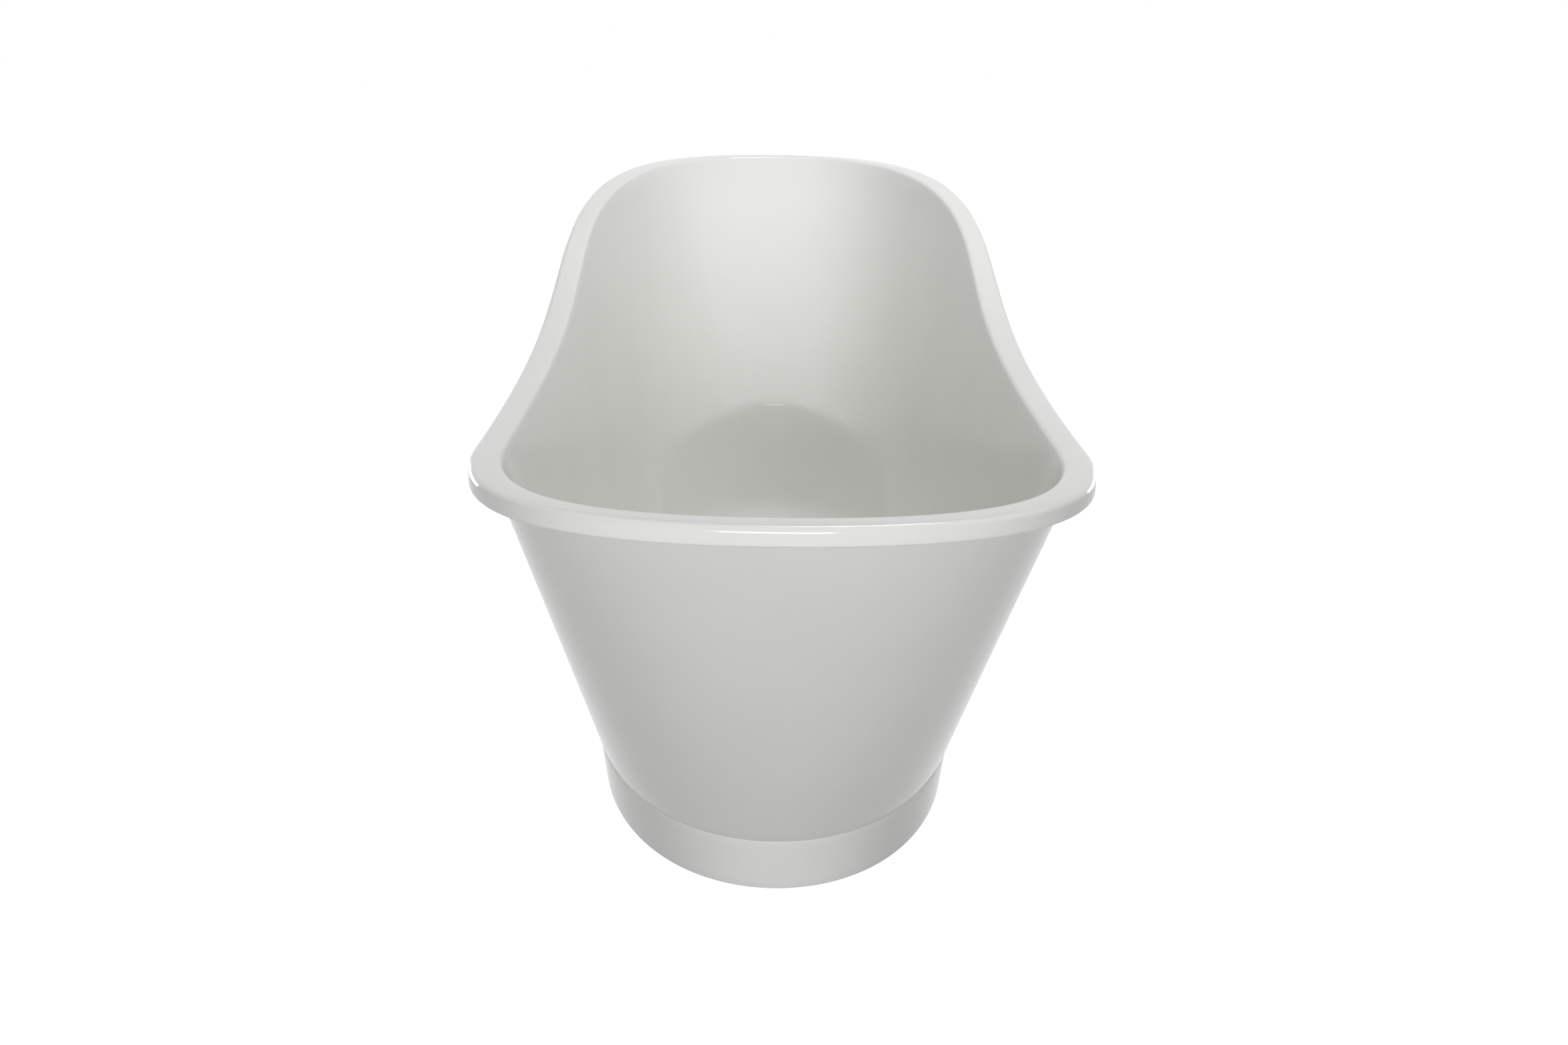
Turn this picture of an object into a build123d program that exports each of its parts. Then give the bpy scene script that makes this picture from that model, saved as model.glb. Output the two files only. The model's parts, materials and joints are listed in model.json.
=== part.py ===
from build123d import *
import os
from math import cos, radians, sin, tan

# Slipper bathtub, foot end at -Y, slipper end at +Y, +Z up.
# The origin is on the floor under the middle of the rim. All sizes are millimetres.

# Overall size of the rim
bath_length = 1700.0
bath_width = 716.0
foot_rim_height = 605.0
head_rim_height = 842.0

# Rim section
rim_width = 35.0
head_rim_width = 32.0
lip_depth = 22.0
rim_edge_radius = 7.0
lip_under_radius = 3.0
skirt_overhang = 28.0

# Rim line seen from the side: how far its end tangents reach, and their fall
rim_foot_pull = 0.833
rim_head_pull = 0.562
rim_foot_dip = 55.0
rim_head_fall = 40.0
rim_overrun = 0.02
cut_rise = 58.0

# Lean of the walls, in degrees from upright
basin_foot_lean = 43.4
basin_side_lean = 10.2
basin_head_lean = 26.0
skirt_foot_lean = 34.7
skirt_side_lean = 7.1
skirt_head_lean = 18.7
well_lean = 8.0

# Where each outline is widest, as a share of the length ahead of the middle,
# and how square its corners are: foot across, foot along, head across, head along
rim_widest = -0.293
rim_pulls = (0.665, 0.658, 0.95, 0.62)
basin_top_widest = -0.461
basin_top_pulls = (0.825, 0.67, 0.545, 0.885)
basin_floor_widest = -0.007
basin_floor_pulls = (0.605, 0.605, 0.71, 0.705)
skirt_top_widest = -0.48
skirt_top_pulls = (0.79, 0.69, 0.71, 0.81)
skirt_foot_widest = 0.011
skirt_foot_pulls = (0.55, 0.6, 0.71, 0.68)

# Basin floor and the oval well at the foot of the backrest
floor_height = 150.0
floor_thickness = 8.0
shell_wall = 5.0
basin_floor_radius = 80.0
well_height = 400.0
well_side_inset = 136.0
well_head_inset = 243.0
well_head_reach = 277.0
well_foot_reach = 390.0
well_cut_height = 470.0
well_floor_radius = 105.0
ellipse_pull = 0.5523
ellipse_pulls = (ellipse_pull, ellipse_pull, ellipse_pull, ellipse_pull)

# Outer skin and plinth
skirt_wall = 3.5
bond_gap = 0.3
joint_round = 1.2
plinth_height = 72.0
plinth_taper = 10.0
plinth_wall = 6.0
plinth_flange = 34.0
flange_thickness = 5.0

# Board and steel cradle under the floor
board_thickness = 18.0
board_side_inset = 158.0
board_foot_gap = 75.0
board_head_gap = 50.0
board_corner = 90.0
tube_size = 25.0
tube_wall = 2.0
rail_side_inset = 80.0
rail_foot_inset = 50.0
rail_head_inset = 35.0
bar_overhang = 30.0
bar_foot_inset = 45.0
bar_head_inset = 40.0

# Levelling feet
stud_side_inset = 35.0
stud_radius = 6.0
stud_seat = 8.0
stud_top_gap = 6.0
running_gap = 0.05
nut_flats = 19.0
nut_thickness = 10.0
pad_radius = 25.0
pad_thickness = 16.0
pad_boss_radius = 12.0
pad_boss_height = 12.0
pad_round = 3.0

# Fixing screws and brackets
screw_radius = 2.5
screw_head_radius = 5.0
screw_head_height = 3.0
screw_bite = 14.0
rail_screw_count = 4
rail_screw_end_gap = 55.0
bracket_reach = 105.0
bracket_width = 30.0
bracket_sheet = 2.5
bracket_web_gap = 3.0
bracket_inner_reach = 32.0
bracket_edge_gap = 14.0
board_screw_inset = 15.0
flange_screw_inset = 25.0

# Waste
waste_inset = 95.0
recess_radius = 37.0
recess_depth = 3.0
flange_radius = 35.0
flange_plate = 3.0
flange_round = 1.0
waste_tube_radius = 23.5
waste_bore_radius = 20.0
waste_hole_gap = 1.5
waste_tube_length = 62.0
push_gap = 0.3
seal_thickness = 1.5
washer_thickness = 2.5
washer_radius = 32.0
body_radius = 34.0
body_height = 28.0
body_wall = 3.0
backnut_radius = 31.0
backnut_height = 8.0
spider_height = 6.0
spider_drop = 27.0
spider_boss_radius = 10.0
spoke_width = 3.0
window_width = 12.0
window_height = 10.0

# Plug and its cartridge
cap_radius = 31.5
cap_height = 6.0
cap_round = 2.5
plug_seal_inner = 22.0
plug_seal_outer = 28.0
sleeve_radius = 7.0
sleeve_bore = 4.5
sleeve_collar = 9.0
sleeve_collar_height = 2.0
sleeve_rise = 18.0
sleeve_drop = 22.0
sleeve_end = 2.0
stem_bite = 3.0
spring_room = 12.0
spring_radius = 3.2
spring_wire = 0.5
spring_turns = 5

# Trap under the waste
trap_radius = 43.0
trap_wall = 3.0
trap_bottom = 6.0
trap_top = 76.0
trap_dip_end = 14.0
trap_outlet_height = 50.0
trap_collar_height = 3.0
trap_round = 8.0
trap_nut_radius = 31.0
trap_nut_grip = 14.0
nut_lip = 3.0
outlet_length = 14.0
outlet_radius = 24.0
outlet_nut_radius = 29.0
outlet_nut_grip = 12.0
outlet_washer = 3.0
tail_radius = 20.0
tail_wall = 2.0
tail_bend = 25.0
tail_reach = 95.0
tail_end = 3.0

# Overflow on the foot wall
overflow_drop = 150.0
overflow_hole_radius = 24.0
overflow_face_radius = 34.0
overflow_face_height = 9.0
overflow_face_gap = 0.9
overflow_face_wall = 2.0
overflow_face_round = 3.0
overflow_slot_width = 34.0
overflow_slot_height = 5.0
overflow_seal_radius = 33.0
overflow_seal_bore = 25.0
overflow_seal_thickness = 3.0
elbow_flange = 3.0
elbow_depth = 21.0
elbow_radius = 27.0
elbow_wall = 2.5
elbow_reach = 44.0
elbow_boss_radius = 7.0
elbow_boss_rise = 17.0
overflow_screw_radius = 3.0
overflow_screw_head = 6.0
overflow_screw_head_height = 2.0
pipe_radius = 9.0
pipe_wall = 1.5
pipe_drop = 21.0
pipe_seat = 12.0
pipe_bend = 60.0
port_wall = 2.5
port_reach = 46.0
pipe_nut_radius = 14.0
pipe_nut_length = 16.0

# Places worked out from the sizes above
foot_y = -bath_length / 2
head_y = bath_length / 2
floor_foot_y = foot_y + rim_width + (foot_rim_height - floor_height) * tan(radians(basin_foot_lean))
floor_head_y = head_y - head_rim_width - (head_rim_height - floor_height) * tan(radians(basin_head_lean))
well_half_width = bath_width / 2 - well_side_inset
well_head_y = head_y - well_head_inset
well_middle_y = well_head_y - well_head_reach
well_foot_y = well_middle_y - well_foot_reach
waste_y = floor_foot_y + waste_inset
overflow_height = foot_rim_height - overflow_drop
shell_bottom = floor_height - floor_thickness
board_bottom = shell_bottom - board_thickness
rail_bottom = board_bottom - tube_size
bar_bottom = rail_bottom - tube_size
cut_top = head_rim_height + cut_rise
stud_top = board_bottom - stud_top_gap
board_half_width = bath_width / 2 - board_side_inset
board_foot_y = waste_y + board_foot_gap
board_head_y = floor_head_y - board_head_gap
board_screw_x = board_half_width - board_screw_inset
rail_x = board_half_width - rail_side_inset
rail_foot_y = board_foot_y + rail_foot_inset
rail_head_y = board_head_y - rail_head_inset
bar_foot_y = rail_foot_y + bar_foot_inset
bar_head_y = rail_head_y - bar_head_inset
stud_x = board_half_width - stud_side_inset
bar_half_length = stud_x + bar_overhang
rail_screw_first = bar_foot_y + rail_screw_end_gap
rail_screw_last = bar_head_y - rail_screw_end_gap
rail_screw_step = (rail_screw_last - rail_screw_first) / (rail_screw_count - 1)
rail_screw_places = [rail_screw_first + n * rail_screw_step for n in range(rail_screw_count)]
plinth_middle_y = skirt_foot_widest * bath_length
bracket_places = (plinth_middle_y - bracket_reach, plinth_middle_y + bracket_reach)
bracket_web_x = board_half_width + bracket_web_gap
recess_floor = floor_height - recess_depth
flange_bottom = recess_floor + seal_thickness
flange_top = flange_bottom + flange_plate
waste_tube_end = flange_bottom - waste_tube_length
body_top = shell_bottom - washer_thickness
body_bottom = body_top - body_height
port_height = (body_top + body_bottom) / 2
spider_top = flange_top - spider_drop
sleeve_top = spider_top + sleeve_rise
sleeve_foot = spider_top - sleeve_drop
spring_foot = sleeve_foot + sleeve_end
cap_bottom = flange_top + seal_thickness
trap_collar_top = waste_tube_end - seal_thickness
trap_collar_bottom = trap_collar_top - trap_collar_height
trap_inlet_radius = waste_tube_radius - trap_wall
outlet_end = waste_y + trap_radius + outlet_length
tail_y = waste_y + tail_reach
elbow_back = -shell_wall - overflow_seal_thickness - elbow_flange - elbow_depth


def between(first, second, share):
    return tuple(a + (b - a) * share for a, b in zip(first, second))


def curve_place(points, shares):
    """A place on a curve with four control points, one share for each step down."""
    for share in shares:
        points = [between(a, b, share) for a, b in zip(points, points[1:])]
    return points[0]


def rim_control_points(drop):
    """The rim line lowered by drop, run on a little past both ends of the bath."""
    foot = foot_rim_height - drop
    head = head_rim_height - drop
    points = [
        (foot_y, foot),
        (foot_y + rim_foot_pull * bath_length, foot - rim_foot_dip),
        (head_y - rim_head_pull * bath_length, head - rim_head_fall),
        (head_y, head),
    ]
    start, end = -rim_overrun, 1 + rim_overrun
    steps = ((start, start, start), (start, start, end), (start, end, end), (end, end, end))
    return [curve_place(points, shares) for shares in steps]


def rim_height(y):
    """Height of the rim's top at a place along the bath."""
    points = rim_control_points(0)
    low, high = 0.0, 1.0
    for _ in range(40):
        middle = (low + high) / 2
        if curve_place(points, (middle,) * 3)[0] < y:
            low = middle
        else:
            high = middle
    return curve_place(points, (low,) * 3)[1]


def quarter_curves(outline, height):
    """The four curves of an egg-shaped outline at a height, foot and head on each side."""
    half_width, widest_y, foot, head, pulls = outline
    foot_across, foot_along, head_across, head_along = pulls
    foot_side = widest_y - foot_along * (widest_y - foot)
    head_side = widest_y + head_along * (head - widest_y)
    curves = []
    for edge in (half_width, -half_width):
        curves.append([(0, foot), (foot_across * edge, foot), (edge, foot_side), (edge, widest_y)])
        curves.append([(edge, widest_y), (edge, head_side), (head_across * edge, head), (0, head)])
    return [Edge.make_bezier(*[(x, y, height) for x, y in points]) for points in curves]


def tapered_block(low_outline, low_height, high_outline, high_height, foot_radius=0.0):
    """A solid with straight leaning sides between two outlines, rounded at its foot."""
    low = quarter_curves(low_outline, low_height)
    high = quarter_curves(high_outline, high_height)
    faces = [Face.make_surface_from_curves(a, b) for a, b in zip(low, high)]
    faces += [Face(Wire(low)), Face(Wire(high))]
    with BuildPart() as block:
        add(Solid(Shell(faces)))
        if foot_radius:
            fillet(block.faces().sort_by(Axis.Z)[0].edges(), foot_radius)
    return block.part


def side_band(top_drop, bottom_drop=None):
    """The space under the rim line across the whole bath, or a band of it."""
    with BuildPart() as band:
        with BuildSketch(Plane.YZ.offset(-bath_width)):
            with BuildLine():
                top = Bezier(*rim_control_points(top_drop))
                if bottom_drop is None:
                    low_start = ((top @ 0).X, -1.0)
                    low_end = ((top @ 1).X, -1.0)
                    Line(low_start, low_end)
                else:
                    low = Bezier(*rim_control_points(bottom_drop))
                    low_start = low @ 0
                    low_end = low @ 1
                Line(top @ 0, low_start)
                Line(top @ 1, low_end)
            make_face()
        extrude(amount=2 * bath_width)
    return band.part


def basin_outlines(wall, top, bottom):
    """The basin's outline at two heights, grown outwards by a wall."""
    side_height = rim_height(rim_widest * bath_length)
    outlines = []
    for height, widest, pulls in (
        (bottom, basin_floor_widest, basin_floor_pulls),
        (top, basin_top_widest, basin_top_pulls),
    ):
        side = bath_width / 2 - rim_width + (height - side_height) * tan(radians(basin_side_lean))
        foot = foot_y + rim_width - (height - foot_rim_height) * tan(radians(basin_foot_lean))
        head = head_y - head_rim_width + (height - head_rim_height) * tan(radians(basin_head_lean))
        foot -= wall / cos(radians(basin_foot_lean))
        outlines.append((side + wall, widest * bath_length, foot, head + wall, pulls))
    return outlines


def well_outlines(wall, top, bottom):
    """The oval well's outline at two heights, grown outwards by a wall."""
    outlines = []
    for height in (bottom, top):
        grow = wall + (height - well_height) * tan(radians(well_lean))
        outlines.append(
            (
                well_half_width + grow,
                well_middle_y,
                well_foot_y - grow,
                well_head_y + grow,
                ellipse_pulls,
            )
        )
    return outlines


def skirt_outline(height, wall):
    """The outer skin's outline at the plinth or at the top cut, shrunk by a wall."""
    at_top = height > plinth_height
    side_height = rim_height(rim_widest * bath_length) - lip_depth
    widest = skirt_top_widest if at_top else skirt_foot_widest
    pulls = skirt_top_pulls if at_top else skirt_foot_pulls
    foot_height = foot_rim_height - lip_depth
    head_height = head_rim_height - lip_depth
    side = bath_width / 2 - skirt_overhang
    side += (height - side_height) * tan(radians(skirt_side_lean))
    foot = foot_y + skirt_overhang - (height - foot_height) * tan(radians(skirt_foot_lean))
    head = head_y - skirt_overhang + (height - head_height) * tan(radians(skirt_head_lean))
    return (side - wall, widest * bath_length, foot + wall, head - wall, pulls)


# Spaces that shape the basin
floor_outline, basin_top_outline = basin_outlines(0, cut_top, floor_height)
basin_space = tapered_block(
    floor_outline, floor_height, basin_top_outline, cut_top, basin_floor_radius
)
well_floor, well_top = well_outlines(0, well_cut_height, floor_height)
well_space = tapered_block(well_floor, floor_height, well_top, well_cut_height, well_floor_radius)

outer_floor, outer_top = basin_outlines(shell_wall, cut_top, shell_bottom)
basin_outside = tapered_block(
    outer_floor, shell_bottom, outer_top, cut_top, basin_floor_radius + shell_wall
)
outer_well_floor, outer_well_top = well_outlines(shell_wall, well_cut_height, shell_bottom)
well_outside = tapered_block(
    outer_well_floor, shell_bottom, outer_well_top, well_cut_height, well_floor_radius + shell_wall
)

# Overflow frame: its Z points out of the foot wall into the basin, its Y down the wall
overflow_y = foot_y + rim_width - (overflow_height - foot_rim_height) * tan(radians(basin_foot_lean))
wall_normal = (0, cos(radians(basin_foot_lean)), sin(radians(basin_foot_lean)))
overflow_plane = Plane((0, overflow_y, overflow_height), x_dir=(1, 0, 0), z_dir=wall_normal)

plinth_side = skirt_outline(plinth_height, 0)[0]
flange_screw_x = plinth_side - flange_screw_inset
bracket_edge_x = plinth_side - bracket_edge_gap

stand = (Align.CENTER, Align.CENTER, Align.MIN)
waste_place = (0, waste_y)
sides = {"left": -1, "right": 1}
bars = {"foot": bar_foot_y, "head": bar_head_y}


def ring_on(plane, outer, inner, height, place=(0, 0)):
    """A round plate, or a ring where inner isn't 0, standing on a plane."""
    with BuildPart() as ring:
        with BuildSketch(plane):
            with Locations(place):
                Circle(outer)
                if inner:
                    Circle(inner, mode=Mode.SUBTRACT)
        extrude(amount=height)
    return ring.part


def waste_ring(outer, inner, low, high):
    """A ring about the waste's axis between two heights."""
    return ring_on(Plane.XY.offset(low), outer, inner, high - low, waste_place)


def save(part, name):
    part.label = name
    export_step(part, f"parts/{name}.step")


os.makedirs("parts", exist_ok=True)

# The basin's thin walls, below the rim
with BuildPart() as basin_walls:
    add(basin_outside)
    add(side_band(lip_depth / 2), mode=Mode.INTERSECT)
    add(well_outside)
    add(basin_space, mode=Mode.SUBTRACT)
    add(well_space, mode=Mode.SUBTRACT)

# Basin with its thick rim, one white acrylic moulding
rim_outline = (bath_width / 2, rim_widest * bath_length, foot_y, head_y, rim_pulls)
with BuildPart() as bath_shell:
    with BuildSketch():
        make_face(quarter_curves(rim_outline, 0))
    extrude(amount=cut_top)
    add(side_band(0, lip_depth), mode=Mode.INTERSECT)
    add(basin_space, mode=Mode.SUBTRACT)
    rim_top = bath_shell.faces().filter_by(lambda f: f.normal_at().Z > 0.5)[0]
    fillet(rim_top.edges(), rim_edge_radius)
    rim_under = bath_shell.faces().filter_by(lambda f: f.normal_at().Z < -0.5)[0]
    fillet(rim_under.outer_wire().edges(), lip_under_radius)
    add(basin_walls.part)
    with Locations((0, waste_y, recess_floor)):
        Cylinder(recess_radius, floor_thickness, align=stand, mode=Mode.SUBTRACT)
        Cylinder(waste_tube_radius + waste_hole_gap, 4 * floor_thickness, mode=Mode.SUBTRACT)
    with Locations(overflow_plane):
        Cylinder(overflow_hole_radius, 4 * shell_wall, mode=Mode.SUBTRACT)
save(bath_shell.part, "bath_shell")

# Outer skin, bonded under the lip and standing on the plinth
with BuildPart() as outer_skirt:
    add(
        tapered_block(
            skirt_outline(plinth_height, 0), plinth_height, skirt_outline(cut_top, 0), cut_top
        )
    )
    fillet(outer_skirt.faces().sort_by(Axis.Z)[0].edges(), joint_round)
    add(
        tapered_block(
            skirt_outline(plinth_height, skirt_wall),
            plinth_height,
            skirt_outline(cut_top, skirt_wall),
            cut_top,
        ),
        mode=Mode.SUBTRACT,
    )
    add(side_band(lip_depth + bond_gap), mode=Mode.INTERSECT)
save(outer_skirt.part, "outer_skirt")

# Plinth ring with an inward flange on top, which the outer skin stands on
flange_foot = plinth_height - flange_thickness
flange_inset = plinth_taper * flange_thickness / plinth_height
with BuildPart() as plinth:
    add(
        tapered_block(
            skirt_outline(plinth_height, plinth_taper), 0, skirt_outline(plinth_height, 0), plinth_height
        )
    )
    fillet(plinth.faces().sort_by(Axis.Z)[-1].edges(), joint_round)
    add(
        tapered_block(
            skirt_outline(plinth_height, plinth_taper + plinth_wall),
            0,
            skirt_outline(plinth_height, flange_inset + plinth_wall),
            flange_foot,
        ),
        mode=Mode.SUBTRACT,
    )
    with BuildSketch(Plane.XY.offset(flange_foot)):
        make_face(quarter_curves(skirt_outline(plinth_height, plinth_flange), 0))
    extrude(amount=flange_thickness, mode=Mode.SUBTRACT)
    with Locations(*[(side * flange_screw_x, y, 0) for side in sides.values() for y in bracket_places]):
        Cylinder(screw_radius + running_gap, 4 * plinth_height, mode=Mode.SUBTRACT)
save(plinth.part, "plinth")

# Board bonded under the basin floor
with BuildPart() as base_board:
    with BuildSketch(Plane.XY.offset(board_bottom)):
        with Locations((0, (board_foot_y + board_head_y) / 2)):
            RectangleRounded(2 * board_half_width, board_head_y - board_foot_y, board_corner)
    extrude(amount=board_thickness)
    pilots = [(side * rail_x, y, board_bottom) for side in sides.values() for y in rail_screw_places]
    pilots += [(side * board_screw_x, y, board_bottom) for side in sides.values() for y in bracket_places]
    with Locations(*pilots):
        Cylinder(
            screw_radius + running_gap, screw_bite + push_gap, align=stand, mode=Mode.SUBTRACT
        )
save(base_board.part, "base_board")

# Two rails of square steel tube under the board
tube_inside = tube_size - 2 * tube_wall
for side_name, side in sides.items():
    with BuildPart() as side_rail:
        rail_start = (side * rail_x, rail_foot_y, rail_bottom + tube_size / 2)
        with BuildSketch(Plane(rail_start, x_dir=(1, 0, 0), z_dir=(0, 1, 0))):
            Rectangle(tube_size, tube_size)
            Rectangle(tube_inside, tube_inside, mode=Mode.SUBTRACT)
        extrude(amount=rail_head_y - rail_foot_y)
        with Locations(*[(side * rail_x, y, rail_bottom) for y in rail_screw_places]):
            Cylinder(screw_radius + push_gap, 4 * tube_size, mode=Mode.SUBTRACT)
    save(side_rail.part, f"side_rail_{side_name}")

# Two cross bars welded under the rails, with a hole near each end for a stud
for bar_name, bar_y in bars.items():
    with BuildPart() as cross_bar:
        bar_start = (-bar_half_length, bar_y, bar_bottom + tube_size / 2)
        with BuildSketch(Plane(bar_start, x_dir=(0, 1, 0), z_dir=(1, 0, 0))):
            Rectangle(tube_size, tube_size)
            Rectangle(tube_inside, tube_inside, mode=Mode.SUBTRACT)
        extrude(amount=2 * bar_half_length)
        with Locations(*[(side * stud_x, bar_y, bar_bottom) for side in sides.values()]):
            Cylinder(stud_radius + push_gap, 4 * tube_size, mode=Mode.SUBTRACT)
    save(cross_bar.part, f"cross_bar_{bar_name}")

# Levelling feet: a threaded stud in a moulded pad, one near each end of each bar
for bar_name, bar_y in bars.items():
    for side_name, side in sides.items():
        stud_place = (side * stud_x, bar_y)
        stud = ring_on(Plane.XY.offset(stud_seat), stud_radius, 0, stud_top - stud_seat, stud_place)
        save(stud, f"levelling_stud_{bar_name}_{side_name}")
        with BuildPart() as foot_pad:
            with Locations((*stud_place, 0)):
                Cylinder(pad_radius, pad_thickness, align=stand)
            fillet(foot_pad.edges().sort_by(Axis.Z)[-1], pad_round)
            with Locations((*stud_place, pad_thickness)):
                Cone(pad_boss_radius, pad_boss_radius - pad_round, pad_boss_height, align=stand)
            with Locations((*stud_place, stud_seat)):
                Cylinder(
                    stud_radius + running_gap, pad_radius * 2, align=stand, mode=Mode.SUBTRACT
                )
        save(foot_pad.part, f"foot_pad_{bar_name}_{side_name}")

# A nut welded on top of each bar end, and a lock nut under it
stud_places = [(side * stud_x, y) for y in bars.values() for side in sides.values()]
for nut_name, nut_foot in {"weld_nuts": rail_bottom, "lock_nuts": bar_bottom - nut_thickness}.items():
    with BuildPart() as nuts:
        with BuildSketch(Plane.XY.offset(nut_foot)):
            with Locations(*stud_places):
                RegularPolygon(nut_flats / 2, 6, major_radius=False)
                Circle(stud_radius + running_gap, mode=Mode.SUBTRACT)
        extrude(amount=nut_thickness)
    save(nuts.part, nut_name)


def screws(places, seat, end):
    """Pan-head screws whose heads bear on a seat; the end may be above or below it."""
    head_side = 1 if end < seat else -1
    with BuildPart() as group:
        with BuildSketch(Plane.XY.offset(seat)):
            with Locations(*places):
                Circle(screw_head_radius)
        extrude(amount=head_side * screw_head_height)
        with BuildSketch(Plane.XY.offset(seat)):
            with Locations(*places):
                Circle(screw_radius)
        extrude(amount=end - seat)
    return group.part


screw_end = board_bottom + screw_bite
rail_places = [(side * rail_x, y) for side in sides.values() for y in rail_screw_places]
save(screws(rail_places, rail_bottom, screw_end), "rail_screws")

# Steel brackets that tie the plinth's flange to the board
with BuildPart() as plinth_brackets:
    for side in sides.values():
        inner_x = side * (bracket_web_x - bracket_inner_reach)
        web_x = side * bracket_web_x
        back_x = side * (bracket_web_x - bracket_sheet)
        outer_x = side * bracket_edge_x
        top = board_bottom
        low = plinth_height
        profile = [
            (inner_x, top),
            (web_x, top),
            (web_x, low + bracket_sheet),
            (outer_x, low + bracket_sheet),
            (outer_x, low),
            (back_x, low),
            (back_x, top - bracket_sheet),
            (inner_x, top - bracket_sheet),
        ]
        for y in bracket_places:
            with BuildSketch(Plane.XZ.offset(-y)):
                with BuildLine():
                    Polyline(*profile, close=True)
                make_face()
            extrude(amount=bracket_width / 2, both=True)
            with Locations((side * board_screw_x, y, top), (side * flange_screw_x, y, low)):
                Cylinder(screw_radius + push_gap, 4 * bracket_sheet, mode=Mode.SUBTRACT)
save(plinth_brackets.part, "plinth_brackets")

board_places = [(side * board_screw_x, y) for side in sides.values() for y in bracket_places]
flange_places = [(side * flange_screw_x, y) for side in sides.values() for y in bracket_places]
with BuildPart() as bracket_screws:
    add(screws(board_places, board_bottom - bracket_sheet, screw_end))
    add(screws(flange_places, plinth_height + bracket_sheet, flange_foot - bracket_sheet))
save(bracket_screws.part, "bracket_screws")

# Waste: seal, chromed flange with its tube and spider, body, washer and nut
tube_gap_radius = waste_tube_radius + push_gap
save(waste_ring(washer_radius, tube_gap_radius, recess_floor, flange_bottom), "flange_seal")
with BuildPart() as waste_flange:
    add(waste_ring(flange_radius, waste_bore_radius, flange_bottom, flange_top))
    fillet(waste_flange.edges().group_by(Axis.Z)[-1], flange_round)
    add(waste_ring(waste_tube_radius, waste_bore_radius, waste_tube_end, flange_bottom))
    with BuildSketch(Plane.XY.offset(spider_top)):
        with Locations(waste_place):
            Circle(spider_boss_radius)
            for angle in (0, 90):
                Rectangle(2 * waste_bore_radius + trap_wall, spoke_width, rotation=angle)
            Circle(sleeve_radius + running_gap, mode=Mode.SUBTRACT)
    extrude(amount=-spider_height)
    with Locations((0, waste_y, port_height)):
        for angle in (45, 135):
            Box(
                4 * waste_tube_radius,
                window_width,
                window_height,
                rotation=(0, 0, angle),
                mode=Mode.SUBTRACT,
            )
save(waste_flange.part, "waste_flange")
save(waste_ring(washer_radius, tube_gap_radius, body_top, shell_bottom), "waste_washer")
port_radius = pipe_radius + push_gap + port_wall
with BuildPart() as waste_body:
    add(waste_ring(body_radius, tube_gap_radius, body_bottom, body_top))
    with BuildSketch(Plane.XZ.offset(-waste_y)):
        with Locations((0, port_height)):
            Circle(port_radius)
    extrude(amount=port_reach)
    add(
        waste_ring(body_radius - body_wall, 0, body_bottom + body_wall, body_top - body_wall),
        mode=Mode.SUBTRACT,
    )
    with BuildSketch(Plane.XZ.offset(-waste_y)):
        with Locations((0, port_height)):
            Circle(pipe_radius + push_gap)
    extrude(amount=2 * port_reach, mode=Mode.SUBTRACT)
    add(waste_ring(tube_gap_radius, 0, body_bottom, body_top), mode=Mode.SUBTRACT)
save(waste_body.part, "waste_body")
backnut_bottom = body_bottom - backnut_height
with BuildPart() as waste_backnut:
    with BuildSketch(Plane.XY.offset(backnut_bottom)):
        with Locations(waste_place):
            RegularPolygon(backnut_radius, 8)
            Circle(tube_gap_radius, mode=Mode.SUBTRACT)
    extrude(amount=backnut_height)
save(waste_backnut.part, "waste_backnut")

# Plug: cap, seal and stem travel together in the cartridge
with BuildPart() as plug_cap:
    add(waste_ring(cap_radius, 0, cap_bottom, cap_bottom + cap_height))
    fillet(plug_cap.edges().sort_by(Axis.Z)[-1], cap_round)
    add(
        waste_ring(sleeve_bore, 0, cap_bottom, cap_bottom + stem_bite),
        mode=Mode.SUBTRACT,
    )
save(plug_cap.part, "plug_cap")
save(waste_ring(plug_seal_outer, plug_seal_inner, flange_top, cap_bottom), "plug_seal")
stem_foot = spring_foot + spring_room
save(waste_ring(sleeve_bore - running_gap, 0, stem_foot, cap_bottom + stem_bite), "plug_stem")
with BuildPart() as cartridge_sleeve:
    add(waste_ring(sleeve_radius, 0, sleeve_foot, sleeve_top))
    add(waste_ring(sleeve_collar, 0, spider_top, spider_top + sleeve_collar_height))
    add(waste_ring(sleeve_bore, 0, spring_foot, sleeve_top), mode=Mode.SUBTRACT)
save(cartridge_sleeve.part, "cartridge_sleeve")
coil_height = spring_room - 2 * spring_wire
with BuildPart() as cartridge_spring:
    with BuildLine():
        coil = Helix(
            coil_height / spring_turns,
            coil_height,
            spring_radius,
            center=(0, waste_y, spring_foot + spring_wire),
        )
    with BuildSketch(Plane(coil @ 0, z_dir=coil % 0)):
        Circle(spring_wire)
    sweep(is_frenet=True)
save(cartridge_spring.part, "cartridge_spring")

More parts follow.
